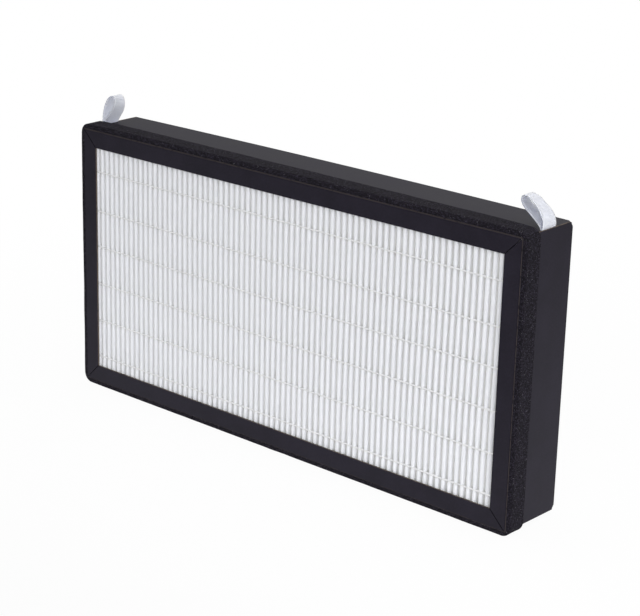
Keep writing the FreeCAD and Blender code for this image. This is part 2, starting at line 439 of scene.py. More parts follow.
@dataclass(frozen=True)
class NonWoven:
    """Soft white filter sheet, painted paler in the valleys: painted light for the light that seeps through
    its thin walls.
    """

    nose: Colour = (0.8, 0.81, 0.848, 1)
    # painted light: the paler colour deep in the valleys
    valley: Colour = (0.965, 0.965, 0.945, 1)
    painted_light_starts: float = 0.5 * MM
    painted_light_ends: float = 2.6 * MM
    mottle: Colour = (0.96, 0.96, 0.965, 1)
    fibre_depth: float = 0.03 * MM
    roughness: float = 0.85
    front: float = 0.0
    rear: float = 0.0

    def material(self) -> bpy.types.Material:
        """The sheet, with fibres and painted light: paler with depth into the valleys."""
        s = Shader("filter_sheet")
        y = s.axis("Y")
        in_front = s.calc("SUBTRACT", y, self.front)
        behind = s.calc("SUBTRACT", self.rear, y)
        depth = s.calc("MINIMUM", in_front, behind)
        # painted light: from the noses' colour to the valleys' paler one, by depth behind the noses, front
        # and rear
        share = s.rise(depth, self.painted_light_starts, self.painted_light_ends)
        plain = s.between(share, self.nose, self.valley)
        fibre = s.grain(2600, 4)
        cloud = s.grain(260, 3)
        mottle = s.rise(s.add(s.times(fibre, 0.5), s.times(cloud, 0.5)), 0.3, 0.7)
        tint = s.between(mottle, self.mottle, (1, 1, 1, 1))
        return s.finish(
            s.between(1.0, plain, tint, "MULTIPLY"),
            self.roughness,
            s.relief(fibre, self.fibre_depth),
            Sheen_Weight=0.15,
            Specular_IOR_Level=0.2,
            Subsurface_Weight=0.35,
            Subsurface_Scale=0.9 * MM,
            Subsurface_Radius=(1.0, 1.0, 1.0),
        )


@dataclass(frozen=True)
class HotMelt:
    """Set hot-melt glue: milky, smooth and a little glossy."""

    body: Colour = (0.705, 0.71, 0.715, 1)
    thin: Colour = (0.775, 0.78, 0.785, 1)
    roughness: float = 0.5
    ripple: float = 0.05 * MM

    def material(self) -> bpy.types.Material:
        """The glue's surface."""
        s = Shader("hot_melt_glue")
        share = s.rise(s.grain(500, 2), 0.35, 0.65)
        return s.finish(
            s.between(share, self.body, self.thin),
            self.roughness,
            s.relief(s.grain(900, 2), self.ripple),
            Specular_IOR_Level=0.25,
        )


class GeometryTree(NodeMaker):
    """A Geometry Nodes group in the making."""

    def __init__(self, name: str) -> None:
        """Start a group that takes and gives a geometry.

        Args:
            name: the group's name.
        """
        self.group = bpy.data.node_groups.new(name, "GeometryNodeTree")
        super().__init__(self.group)
        self.group.interface.new_socket("Geometry", in_out="OUTPUT", socket_type="NodeSocketGeometry")
        self.group.interface.new_socket("Geometry", in_out="INPUT", socket_type="NodeSocketGeometry")
        self.given = self.nodes.new("NodeGroupInput")
        self.result = self.nodes.new("NodeGroupOutput")

    def take(self, name: str, kind: str = "Float") -> bpy.types.NodeSocket:
        """Add a named input to the group.

        Args:
            name: the input's name.
            kind: Float, Int or Material.

        Returns:
            Its socket inside the group.
        """
        self.group.interface.new_socket(name, in_out="INPUT", socket_type=f"NodeSocket{kind}")
        return self.given.outputs[name]

    def wander(self, seed: Value, x: Value, y: Value = 0.0) -> bpy.types.NodeSocket:
        """Smooth noise from about -1 to 1 that changes with x and y by whole units."""
        place = self.node("ShaderNodeCombineXYZ", 0, X=x, Y=y, Z=seed)
        value = self.node("ShaderNodeTexNoise", 0, Vector=place, Scale=1.0, Detail=1.0)
        return self.times(self.calc("SUBTRACT", value, 0.5), 2.6)

    def position(self) -> dict[str, bpy.types.NodeSocket]:
        """X, Y and Z of a point."""
        split = self.nodes.new("ShaderNodeSeparateXYZ")
        self.feed(split.inputs[0], self.node("GeometryNodeInputPosition"))
        return {axis: split.outputs[axis] for axis in "XYZ"}

    def make(self, host: bpy.types.Object, name: str, inputs: dict[str, object]) -> bpy.types.Object:
        """Run the group on an object and keep the result as a plain mesh.

        Args:
            host: the object that gives the geometry; it is removed.
            name: the new piece's name.
            inputs: values for the group's named inputs.

        Returns:
            The new piece.
        """
        modifier = host.modifiers.new(name, "NODES")
        modifier.node_group = self.group
        for item in self.group.interface.items_tree:
            if item.name in inputs:
                modifier[item.identifier] = inputs[item.name]
        bpy.context.view_layer.update()
        graph = bpy.context.evaluated_depsgraph_get()
        mesh = bpy.data.meshes.new_from_object(host.evaluated_get(graph))
        host.modifiers.remove(modifier)
        bpy.data.objects.remove(host)
        return object_from(name, mesh)


@dataclass(frozen=True)
class Places:
    """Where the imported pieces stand."""

    left: float
    right: float
    front: float
    rear: float
    bottom: float
    top: float
    flange: float
    nose_front: float
    nose_rear: float
    pack_left: float
    pack_right: float
    pack_bottom: float
    pack_top: float
    thread_heights: tuple[float, ...]
    bow_ends: float = 0.35 * MM
    bow_middle: float = 1.05 * MM
    spread: float = 0.3 * MM

    @classmethod
    def from_frame(cls, threads: int) -> Places:
        """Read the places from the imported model.

        Args:
            threads: how many glue threads cross each face.

        Returns:
            The places, in metres.
        """
        left_low, left_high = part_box("left_rail")
        right_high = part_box("right_rail")[1]
        pack_low, pack_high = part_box("pleated_media")
        heights = []
        for i in range(threads):
            low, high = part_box(f"front_glue_thread_{i + 1}")
            heights.append((low.z + high.z) / 2)
        return cls(
            left=left_low.x,
            right=right_high.x,
            front=left_low.y,
            rear=left_high.y,
            bottom=left_low.z,
            top=left_high.z,
            flange=left_high.x - left_low.x,
            nose_front=pack_low.y,
            nose_rear=pack_high.y,
            pack_left=pack_low.x,
            pack_right=pack_high.x,
            pack_bottom=pack_low.z,
            pack_top=pack_high.z,
            thread_heights=tuple(heights),
        )

    def push(self, point: Vector) -> Vector:
        """How far a point of the frame is moved, where the pack presses the rails' rear outwards.

        Args:
            point: a point of a piece as it was packed.

        Returns:
            The way: nothing at the front, most along the top's rear edge and a little at both ends.
        """
        along = (2 * point.x - self.left - self.right) / (self.right - self.left)
        back = max(0.0, (point.y - self.front) / (self.rear - self.front))
        up = (point.z - self.bottom) / (self.top - self.bottom)
        bow = self.bow_ends + (self.bow_middle - self.bow_ends) * (1 - along * along)
        return Vector((self.spread * along * back, 0, bow * back * min(1.0, max(0.0, up)) ** 3))

    def from_outline(self, point: Vector) -> float:
        """How far a point lies inside the frame's outline, seen from the front."""
        across = min(point.x - self.left, self.right - point.x)
        up = min(point.z - self.bottom, self.top - point.z)
        return min(across, up)


@dataclass
class BoardFrame:
    """The four folded rails, with softened edges and bare board where they are cut or scored."""

    places: Places
    board: float = 0.8 * MM
    score: float = 0.5 * MM
    edge_round: float = 0.06 * MM
    edge_segments: int = 2
    near: float = 0.05 * MM
    merge: float = 0.001 * MM
    blunt_radii: dict[tuple[int, int], float] = field(
        default_factory=lambda: {(-1, 1): 0.8 * MM, (1, 1): 2.6 * MM, (1, -1): 2.2 * MM, (-1, -1): 1.8 * MM}
    )
    stations: int = 16
    corner_cuts: int = 4
    rails: tuple[str, ...] = ("top", "bottom", "left", "right")
    cut_finish: CutBoard = CutBoard()
    score_finish: CutBoard = CutBoard(core=(0.05, 0.042, 0.042, 1), soiled=(0.018, 0.015, 0.018, 1))

    def bareness(self, face: bmesh.types.BMFace) -> int:
        """Whether a face is bare board: a cut end, a flange's edge or the scored step.

        Args:
            face: a face of a rail.

        Returns:
            The material slot: 0 for coated board, 1 for cut board and 2 for the score, which is soiled.
        """
        p = self.places
        centre = face.calc_center_median()
        inside = p.from_outline(centre)
        flange_edge = abs(inside - p.flange) < self.near and abs(face.normal.y) < 0.5
        in_front = centre.y - p.front
        step = in_front < self.score + self.near and inside < self.score + self.near
        step = step and in_front > self.near and abs(face.normal.y) > 0.5
        past_web = min(centre.x - p.left, p.right - centre.x) < self.board + self.near
        web_end = past_web and abs(face.normal.z) > 0.9 and inside < self.near
        return 2 if step else int(flange_edge or web_end)

    def add_stations(self, shape: bmesh.types.BMesh) -> None:
        """Cut a rail across where it has to bend: along its length, near its corners and by its rear fold."""
        p = self.places
        cuts = []
        widest = max(self.blunt_radii.values())
        for i in range(1, self.stations):
            share = i / self.stations
            cuts.append((Vector((p.left + (p.right - p.left) * share, 0, 0)), Vector((1, 0, 0))))
            cuts.append((Vector((0, 0, p.bottom + (p.top - p.bottom) * share)), Vector((0, 0, 1))))
        for i in range(1, self.corner_cuts + 1):
            inwards = widest * i / self.corner_cuts
            cuts.append((Vector((0, p.rear - inwards, 0)), Vector((0, 1, 0))))
            for x in (p.left + inwards, p.right - inwards):
                cuts.append((Vector((x, 0, 0)), Vector((1, 0, 0))))
            for z in (p.bottom + inwards, p.top - inwards):
                cuts.append((Vector((0, 0, z)), Vector((0, 0, 1))))
        for place, normal in cuts:
            whole = shape.verts[:] + shape.edges[:] + shape.faces[:]
            bmesh.ops.bisect_plane(shape, geom=whole, dist=self.merge / 2, plane_co=place, plane_no=normal)

    def blunted(self, point: Vector) -> Vector:
        """Where a point goes when the frame's rear corners are blunted, as the folded board's are.

        Args:
            point: a point of a rail.

        Returns:
            The point, pulled in to a round corner if it lies outside it.
        """
        p = self.places
        middle = Vector(((p.left + p.right) / 2, p.rear, (p.bottom + p.top) / 2))
        side_x = 1 if point.x > middle.x else -1
        side_z = 1 if point.z > middle.z else -1
        radius = self.blunt_radii[side_x, side_z]
        reach = ((p.right - p.left) / 2 - radius, -radius, (p.top - p.bottom) / 2 - radius)
        away = (side_x * (point.x - middle.x), point.y - middle.y, side_z * (point.z - middle.z))
        over = [a - r for a, r in zip(away, reach)]
        if min(over) <= 0:
            return point
        for first, second, third in ((0, 2, 1), (1, 2, 0), (0, 1, 2)):
            out = math.hypot(over[first], over[second])
            if out > radius:
                pull = 1 - smooth_step(0, 0.6 * radius, over[third]) * (1 - radius / out)
                over[first] *= pull
                over[second] *= pull
        x, y, z = (r + o for r, o in zip(reach, over))
        return Vector((middle.x + side_x * x, middle.y + y, middle.z + side_z * z))

    def build_rail(self, side: str, node: bpy.types.Object) -> bpy.types.Object:
        """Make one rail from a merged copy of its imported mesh.

        Args:
            side: top, bottom, left or right.
            node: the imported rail.

        Returns:
            The new piece, with its faces divided among the slots that bareness names.
        """
        shape = bmesh.new()
        shape.from_mesh(node.data)
        bmesh.ops.remove_doubles(shape, verts=shape.verts, dist=self.merge)
        bmesh.ops.dissolve_limit(shape, angle_limit=math.radians(1), verts=shape.verts, edges=shape.edges)
        corners = [e for e in shape.edges if len(e.link_faces) == 2 and e.calc_face_angle() > 0.9]
        bmesh.ops.bevel(
            shape,
            geom=corners,
            offset=self.edge_round,
            segments=self.edge_segments,
            profile=0.6,
            affect="EDGES",
            clamp_overlap=True,
        )
        shape.normal_update()
        for face in shape.faces:
            face.smooth = True
            face.material_index = self.bareness(face)
        self.add_stations(shape)
        for vert in shape.verts:
            vert.co = self.blunted(vert.co)
            vert.co += self.places.push(vert.co)
        mesh = bpy.data.meshes.new(f"{side}_board")
        shape.to_mesh(mesh)
        shape.free()
        mesh.set_sharp_from_angle(angle=math.radians(50))
        return object_from(f"{side}_board", mesh)

    def build(self, nodes: dict[str, bpy.types.Object]) -> None:
        """Make and dress the four rails.

        Args:
            nodes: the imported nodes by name.
        """
        finishes = [
            CoatedBoard(self.places).material(),
            self.cut_finish.material(),
            self.score_finish.material(),
        ]
        for side in self.rails:
            name = f"{side}_rail"
            piece = self.build_rail(side, nodes[name])
            for finish in finishes:
                piece.data.materials.append(finish)
            piece.modifiers.new("even_shading", "WEIGHTED_NORMAL").keep_sharp = True
            hand_over(piece, Slot.BOARD, name)


@dataclass
class FoamSeal:
    """One strip of foam, wound round the frame and butted underneath.

    sway, swell and pitting are how far it strays to the side, bulges and is pitted, each with its own length.
    """

    places: Places
    corner_thick: float = 1.4 * MM
    proud_top: float = 0.4 * MM
    proud_left: float = 0.25 * MM
    proud_from: float = 24 * MM
    butt_x: float = -62 * MM
    butt_gap: float = 0.6 * MM
    edge_round: float = 0.35 * MM
    station: float = 0.85 * MM
    columns: int = 14
    round_steps: int = 4
    sway: float = 0.16 * MM
    sway_length: float = 22 * MM
    swell: float = 0.1 * MM
    swell_length: float = 9 * MM
    pitting: float = 0.07 * MM
    pit_length: float = 1.1 * MM
    fill: float = 0.85
    low: Vector = field(init=False)
    high: Vector = field(init=False)

    def __post_init__(self) -> None:
        """Read the strip's box from the frame."""
        self.low, self.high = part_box("foam_seal_tape")

    def centre_line(self) -> list[tuple[Vector, Vector, Vector]]:
        """Walk round the outside of the strip, from one end of it to the other.

        Returns:
            For each station, the outer point, the point on the board under it and the way out.
        """
        p = self.places
        thick = p.bottom - self.low.z
        root = math.sqrt(2)
        radius = (thick * root - self.corner_thick) / (root - 1)
        x0, x1 = self.low.x - self.proud_left, self.high.x
        z0, z1 = self.low.z, self.high.z
        run: list[tuple[Vector, Vector]] = []

        def straight(start: Vector, end: Vector, out: Vector) -> None:
            """Add stations along a straight side."""
            steps = max(1, round((end - start).length / self.station))
            run.extend((start.lerp(end, i / steps), out) for i in range(steps))

        def corner(centre: Vector, first: float) -> None:
            """Add stations round a corner, from an angle in degrees to a quarter turn on."""
            steps = max(4, round(radius * math.pi / 2 / self.station * 1.4))
            for i in range(steps):
                angle = math.radians(first + 90 * i / steps)
                out = Vector((math.cos(angle), 0, math.sin(angle)))
                run.append((centre + out * radius, out))

        start = Vector((self.butt_x + self.butt_gap / 2, 0, z0))
        end = Vector((self.butt_x - self.butt_gap / 2, 0, z0))
        straight(start, Vector((x1 - radius, 0, z0)), Vector((0, 0, -1)))
        corner(Vector((x1 - radius, 0, z0 + radius)), -90)
        straight(Vector((x1, 0, z0 + radius)), Vector((x1, 0, z1 - radius)), Vector((1, 0, 0)))
        corner(Vector((x1 - radius, 0, z1 - radius)), 0)
        straight(Vector((x1 - radius, 0, z1)), Vector((x0 + radius, 0, z1)), Vector((0, 0, 1)))
        corner(Vector((x0 + radius, 0, z1 - radius)), 90)
        straight(Vector((x0, 0, z1 - radius)), Vector((x0, 0, z0 + radius)), Vector((-1, 0, 0)))
        corner(Vector((x0 + radius, 0, z0 + radius)), 180)
        straight(Vector((x0 + radius, 0, z0)), end, Vector((0, 0, -1)))
        run.append((end, Vector((0, 0, -1))))
        stations = []
        for outer, out in run:
            under = Vector((min(max(outer.x, p.left), p.right), 0, min(max(outer.z, p.bottom), p.top)))
            from_end = min(outer.x - x0, x1 - outer.x)
            proud = self.proud_top * smooth_step(0, self.proud_from, from_end) * max(0.0, out.z)
            stations.append((outer + out * proud, under, out))
        return stations

    def section(self) -> list[Pair]:
        """The strip's section, from the board at the front, over the outside, to the board at the rear.

        Returns:
            Pairs of the share of the thickness and the share of the width.
        """
        thick = self.places.bottom - self.low.z
        width = self.high.y - self.low.y
        deep, wide = self.edge_round / thick, self.edge_round / width
        points = [(0.0, 0.0), ((1 - deep) / 2, 0.0)]
        for i in range(self.round_steps + 1):
            angle = math.pi / 2 * i / self.round_steps
            points.append((1 - deep + deep * math.sin(angle), wide - wide * math.cos(angle)))
        for i in range(1, self.columns):
            points.append((1.0, wide + (1 - 2 * wide) * i / self.columns))
        points += [(share, 1 - across) for share, across in reversed(points[: self.round_steps + 3])]
        return points

    def build(self) -> None:
        """Make and dress the strip."""
        p = self.places
        width = self.high.y - self.low.y
        section = self.section()
        shape = bmesh.new()
        rings = []
        for outer, under, out in self.centre_line():
            sway = noise.noise(Vector((outer.x, 7, outer.z)) / self.sway_length) * self.sway
            ring = []
            for share, across in section:
                point = under.lerp(outer, share)
                point.y = self.low.y + across * width + sway * share
                wide_swell = noise.noise(point / self.swell_length) * self.swell
                pits = noise.noise(point / self.pit_length) * self.pitting
                point += out * ((wide_swell + pits - self.swell / 2) * share)
                if share > 0.5 and across in (0.0, 1.0):
                    point.y += pits
                point += p.push(point)
                point.z = max(point.z, self.low.z)
                ring.append(shape.verts.new(point))
            rings.append(ring)
        for first, second in zip(rings, rings[1:]):
            for i in range(len(section)):
                j = (i + 1) % len(section)
                shape.faces.new((first[i], second[i], second[j], first[j]))
        shape.faces.new(rings[0])
        shape.faces.new(reversed(rings[-1]))
        bmesh.ops.remove_doubles(shape, verts=shape.verts, dist=0.001 * MM)
        bmesh.ops.recalc_face_normals(shape, faces=shape.faces)
        for face in shape.faces:
            face.smooth = True
        mesh = bpy.data.meshes.new("foam_seal")
        shape.to_mesh(mesh)
        shape.free()
        mesh.set_sharp_from_angle(angle=math.radians(60))
        piece = object_from("foam_seal", mesh)
        piece.data.materials.append(OpenCellFoam().material())
        hand_over(piece, Slot.FOAM, "foam_seal_tape")


def on_curve(t: float, before: float, start: float, end: float, after: float) -> float:
    """The value a share t of the way from start to end, on a smooth curve through all four values."""
    bend = 2 * before - 5 * start + 4 * end - after
    turn = 3 * start - before - 3 * end + after
    return 0.5 * (2 * start + (end - before) * t + bend * t**2 + turn * t**3)


def curve_through(points: Sequence[Pair], steps: int) -> list[Pair]:
    """Points at even distances along a smooth curve through given points.

    Args:
        points: the points that the curve goes through.
        steps: how many even steps to divide it into.

    Returns:
        steps + 1 points.
    """
    closed = [points[0], *points, points[-1]]
    fine: list[Pair] = []
    for a, b, c, d in zip(closed, closed[1:], closed[2:], closed[3:]):
        for i in range(CURVE_STEPS):
            t = i / CURVE_STEPS
            fine.append(tuple(on_curve(t, *values) for values in zip(a, b, c, d)))
    fine.append(points[-1])
    lengths = [0.0]
    for a, b in zip(fine, fine[1:]):
        lengths.append(lengths[-1] + math.dist(a, b))
    even = []
    j = 0
    for i in range(steps + 1):
        goal = lengths[-1] * i / steps
        while j < len(fine) - 2 and lengths[j + 1] < goal:
            j += 1
        share = (goal - lengths[j]) / (lengths[j + 1] - lengths[j])
        even.append(tuple(p + (q - p) * share for p, q in zip(fine[j], fine[j + 1])))
    return even


@dataclass
class PullRibbon:
    """A ribbon loop at one top corner, a little twisted, with both tails down inside the end rail.

    The edges' points are measured inwards from the end of the frame and up from its top, in millimetres,
    from the outer strand over the loop to the inner one.
    """

    places: Places
    side: Side
    front_edge: tuple[Pair, ...]
    back_edge: tuple[Pair, ...]
    node: str
    board: float = 0.8 * MM
    thick: float = 0.35 * MM
    tail_gap: float = 0.1 * MM
    tail: float = 14 * MM
    width: float = 10.8 * MM
    steps: int = 110
    columns: int = 12
    tail_steps: int = 6

    def edge(self, points: tuple[Pair, ...], y: float) -> list[Vector]:
        """One edge of the ribbon's middle layer, with both tails.

        Args:
            points: the loop's points, as the class says.
            y: where this edge lies.

        Returns:
            Points from the end of the outer tail to the end of the inner one.
        """
        p = self.places
        end = p.right if self.side is Side.RIGHT else p.left
        outer_tail = self.board + self.thick / 2
        inner_tail = outer_tail + self.thick + self.tail_gap
        loop = [(outer_tail / MM, 0.0), *points, (inner_tail / MM, 0.0)]
        places = [(inwards * MM, up * MM) for inwards, up in curve_through(loop, self.steps)]
        down = [self.tail * i / self.tail_steps for i in range(self.tail_steps, 0, -1)]
        places = [(outer_tail, -d) for d in down] + places + [(inner_tail, -d) for d in reversed(down)]
        return [Vector((end - self.side.value * inwards, y, p.top + up)) for inwards, up in places]

    def build(self, finish: bpy.types.Material) -> None:
        """Make and dress the loop.

        Args:
            finish: the ribbon's material.
        """
        low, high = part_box(self.node)
        front = self.edge(self.front_edge, low.y)
        back = self.edge(self.back_edge, high.y)
        shape = bmesh.new()
        weave = shape.loops.layers.uv.new("weave")
        rows = []
        along = 0.0
        for i, (a, b) in enumerate(zip(front, back)):
            if i:
                middle = (a + b) / 2
                along += (middle - (front[i - 1] + back[i - 1]) / 2).length
            row = [shape.verts.new(a.lerp(b, j / self.columns)) for j in range(self.columns + 1)]
            rows.append((along, row))
        for (v0, first), (v1, second) in zip(rows, rows[1:]):
            for j in range(self.columns):
                face = shape.faces.new((first[j], second[j], second[j + 1], first[j + 1]))
                face.smooth = True
                u0, u1 = self.width * j / self.columns, self.width * (j + 1) / self.columns
                for loop, uv in zip(face.loops, ((u0, v0), (u0, v1), (u1, v1), (u1, v0))):
                    loop[weave].uv = uv
        mesh = bpy.data.meshes.new(self.node)
        shape.to_mesh(mesh)
        shape.free()
        piece = object_from(f"{self.side.name.lower()}_ribbon_loop", mesh)
        piece.data.materials.append(finish)
        wall = piece.modifiers.new("thickness", "SOLIDIFY")
        wall.thickness = self.thick
        wall.offset = 0
        hand_over(piece, Slot.RIBBON, self.node)


@dataclass
class PleatPack:
    """The folded sheet: narrow round-nosed pleats, pinched where the glue threads cross them.

    squeeze and fullness are shares of a nose's width. A pinch reaches pinch_reach up and down and fades out
    behind the noses over fade. The pleats start to lean at lean_low and lean fully from lean_high up, by the
    shares in leans, which stand against the places along the filter.
    """

    places: Places
    sheet: float = 0.45 * MM
    pitch: float = 3.73 * MM
    nose: float = 2.4 * MM
    front_steps: int = 8
    rear_steps: int = 4
    pinch_depth: float = 0.26 * MM
    pinch_reach: float = 1.3 * MM
    squeeze: float = 0.15
    wobble: float = 0.05 * MM
    unevenness: float = 0.04 * MM
    fullness: float = 0.07
    pleat_wave: float = 18 * MM
    fade: float = 6 * MM
    lean: float = 1.0 * MM
    lean_low: float = 38 * MM
    lean_high: float = 112 * MM
    leans: tuple[Pair, ...] = (
        (0.0, -0.05),
        (0.12, -0.14),
        (0.31, -0.5),
        (0.51, -0.03),
        (0.7, 0.27),
        (0.88, 0.75),
        (1.0, 0.6),
    )
    levels_by_thread: tuple[float, ...] = (-2.1 * MM, -1.0 * MM, -0.35 * MM, 0.35 * MM, 1.0 * MM, 2.1 * MM)
    seed: float = 4.0

    @property
    def first_nose(self) -> float:
        """X of the first nose on the front."""
        return self.places.pack_left + self.nose / 2

    @property
    def pleats(self) -> int:
        """How many pleats the pack has."""
        return round((self.places.pack_right - self.nose / 2 - self.first_nose) / self.pitch) + 1

    def levels(self) -> list[float]:
        """The heights at which the sheet has vertices, closer together by each thread."""
        p = self.places
        heights = [p.pack_bottom, p.pack_top]
        for z in p.thread_heights:
            heights += [z + step for step in self.levels_by_thread]
        for lower, upper in zip(p.thread_heights, p.thread_heights[1:]):
            heights.append((lower + upper) / 2)
        heights.append((p.pack_bottom + p.thread_heights[0]) / 2)
        heights.append((p.pack_top + p.thread_heights[-1]) / 2)
        return sorted(heights)

    def layer(self, offset: float) -> list[Pair]:
        """One face of a single pleat seen from above, from valley to valley, with its nose at x = 0.

        Args:
            offset: from the middle of the sheet, out of the nose when it is positive.

        Returns:
            Pairs of x and y.
        """
        p = self.places
        nose_r = (self.nose - self.sheet) / 2
        valley_r = self.pitch / 2 - nose_r
        nose_y = p.nose_front + self.sheet / 2 + nose_r
        valley_y = p.nose_rear - self.sheet / 2 - valley_r
        half = self.rear_steps // 2

        def arc(x: float, y: float, radius: float, first: float, last: float, steps: int) -> list[Pair]:
            """Points round part of a circle, between two angles in degrees."""
            found = []
            for i in range(steps + 1):
                angle = math.radians(first + (last - first) * i / steps)
                found.append((x + radius * math.cos(angle), y + radius * math.sin(angle)))
            return found

        points = arc(-self.pitch / 2, valley_y, valley_r - offset, 90, 0, half)
        points += arc(0, nose_y, nose_r + offset, 180, 360, self.front_steps)
        points += arc(self.pitch / 2, valley_y, valley_r - offset, 180, 90, half)
        return points

    def single_pleat(self) -> bpy.types.Object:
        """One pleat as a thin wall, open where the next pleats join it.

        Returns:
            A scratch object for the tree to repeat.
        """
        layers = [self.layer(self.sheet / 2), self.layer(-self.sheet / 2)]
        heights = self.levels()
        shape = bmesh.new()
        walls = [[[shape.verts.new((x, y, z)) for x, y in layer] for z in heights] for layer in layers]
        outer, inner = walls
        columns = len(outer[0])
        for k in range(len(heights) - 1):
            for i in range(columns - 1):
                shape.faces.new((outer[k][i], outer[k][i + 1], outer[k + 1][i + 1], outer[k + 1][i]))
                shape.faces.new((inner[k][i + 1], inner[k][i], inner[k + 1][i], inner[k + 1][i + 1]))
        for i in range(columns - 1):
            shape.faces.new((outer[-1][i], outer[-1][i + 1], inner[-1][i + 1], inner[-1][i]))
            shape.faces.new((outer[0][i + 1], outer[0][i], inner[0][i], inner[0][i + 1]))
        mesh = bpy.data.meshes.new("single_pleat")
        shape.to_mesh(mesh)
        shape.free()
        return object_from("single_pleat", mesh)

    def lean_curve(self, tree: GeometryTree, x: Value) -> bpy.types.NodeSocket:
        """How far the noses lean sideways at their tops, by their place along the filter.

        Args:
            tree: the tree in the making.
            x: place along the pack.

        Returns:
            The lean, from -1 to 1.
        """
        p = self.places
        share = tree.calc("DIVIDE", tree.calc("SUBTRACT", x, p.left), p.right - p.left)
        made = tree.nodes.new("ShaderNodeFloatCurve")
        curve = made.mapping.curves[0]
        while len(curve.points) < len(self.leans):
            curve.points.new(0.5, 0.5)
        for point, (along, amount) in zip(curve.points, self.leans):
            point.location = (along, 0.5 + amount / 2)
        made.mapping.update()
        tree.feed(made.inputs["Value"], share)
        return tree.times(tree.calc("SUBTRACT", made.outputs[0], 0.5), 2.0)

    def tree(self) -> GeometryTree:
        """The tree that repeats one pleat and then bends and pinches the whole pack."""
        p = self.places
        tree = GeometryTree("pleat_pack")
        pleats = tree.take("Pleats", "Int")
        pitch = tree.take("Pitch")
        first_nose = tree.take("First Nose")
        pinch_depth = tree.take("Pinch Depth")
        pinch_reach = tree.take("Pinch Reach")
        squeeze = tree.take("Squeeze")
        wobble = tree.take("Wobble")
        unevenness = tree.take("Unevenness")
        lean = tree.take("Lean")
        first_thread = tree.take("First Thread")
        thread_pitch = tree.take("Thread Pitch")
        last_thread = tree.take("Last Thread")
        seed = tree.take("Seed")
        finish = tree.take("Material", "Material")

        line = tree.node(
            "GeometryNodeMeshLine",
            Count=pleats,
            Start_Location=tree.node("ShaderNodeCombineXYZ", X=first_nose),
            Offset=tree.node("ShaderNodeCombineXYZ", X=pitch),
        )
        pleat = tree.given.outputs["Geometry"]
        copies = tree.node("GeometryNodeInstanceOnPoints", Points=line, Instance=pleat)
        sheet = tree.node("GeometryNodeRealizeInstances", Geometry=copies)
        sheet = tree.node("GeometryNodeMergeByDistance", Geometry=sheet, Distance=0.002 * MM)

        at = tree.position()
        steps = tree.calc("DIVIDE", tree.calc("SUBTRACT", at["X"], first_nose), pitch)
        nose_number = tree.calc("ROUND", steps)
        valley_number = tree.calc("FLOOR", steps)
        across = tree.calc("SUBTRACT", at["X"], tree.add(first_nose, tree.times(nose_number, pitch)))
        behind_front = tree.calc("SUBTRACT", at["Y"], p.nose_front)
        before_rear = tree.calc("SUBTRACT", p.nose_rear, at["Y"])
        depth = p.nose_rear - p.nose_front
        by_front = tree.rise(behind_front, self.fade, 0.0)
        by_rear = tree.rise(before_rear, self.fade, 0.0)
        forward = tree.calc("DIVIDE", before_rear, depth)

        number = tree.calc("DIVIDE", tree.calc("SUBTRACT", at["Z"], first_thread), thread_pitch)
        number = tree.calc("ROUND", number)
        number = tree.calc("MINIMUM", tree.calc("MAXIMUM", number, 0.0), last_thread)
        drift = GlueThreads.drift(tree, at["X"], number, seed)
        thread_z = tree.add(first_thread, tree.times(number, thread_pitch), drift)
        off = tree.calc("DIVIDE", tree.calc("SUBTRACT", at["Z"], thread_z), pinch_reach)
        pinch = tree.calc("EXPONENT", tree.times(off, off, -1.0))

        tall = tree.calc("DIVIDE", at["Z"], self.pleat_wave)

        def stray(pleat: Value, turn: float, by_pleat: float, by_height: float) -> bpy.types.NodeSocket:
            """Noise of its own for each pleat, which changes slowly up the pleat."""
            return tree.wander(tree.add(seed, turn), tree.times(pleat, by_pleat), tree.times(tall, by_height))

        sway = tree.times(stray(nose_number, 0.0, 3.7, 1.0), wobble, forward)
        slow = tree.times(stray(nose_number, 9.0, 0.21, 0.3), wobble, forward)
        rear_sway = tree.times(stray(valley_number, 20.0, 3.1, 1.0), wobble, by_rear)
        rise = tree.add(tree.times(tree.rise(at["Z"], self.lean_low, self.lean_high), 1.2), -0.2)
        leaning = tree.times(self.lean_curve(tree, at["X"]), rise, lean, forward)
        narrowed = tree.times(across, squeeze, pinch, by_front, -1.0)
        fuller = tree.times(across, stray(nose_number, 31.0, 5.3, 0.7), self.fullness, by_front)
        dx = tree.add(sway, slow, rear_sway, leaning, narrowed, fuller)
        front_push = tree.times(pinch, pinch_depth, by_front)
        rear_push = tree.times(pinch, pinch_depth, by_rear, -1.0)
        uneven = tree.times(stray(nose_number, 40.0, 2.9, 0.5), unevenness, by_front)
        dy = tree.add(front_push, rear_push, tree.calc("ABSOLUTE", uneven))
        moved = tree.node(
            "GeometryNodeSetPosition",
            Geometry=sheet,
            Offset=tree.node("ShaderNodeCombineXYZ", X=dx, Y=dy),
        )
        smooth = tree.node("GeometryNodeSetShadeSmooth", Geometry=moved)
        dressed = tree.node("GeometryNodeSetMaterial", Geometry=smooth, Material=finish)
        tree.feed(tree.result.inputs["Geometry"], dressed)
        return tree

    def trim_ends(self, piece: bpy.types.Object) -> None:
        """Cut the sheet off at the two ends of the pack and close its cut edges."""
        p = self.places
        shape = bmesh.new()
        shape.from_mesh(piece.data)
        spare = []
        for face in shape.faces:
            x = face.calc_center_median().x
            if x < self.first_nose - self.nose / 2 - self.sheet / 3 or x > p.pack_right + self.sheet / 3:
                spare.append(face)
        bmesh.ops.delete(shape, geom=spare, context="FACES")
        open_edges = [e for e in shape.edges if e.is_boundary]
        bmesh.ops.holes_fill(shape, edges=open_edges)
        shape.to_mesh(piece.data)
        shape.free()
        piece.data.set_sharp_from_angle(angle=math.radians(60))

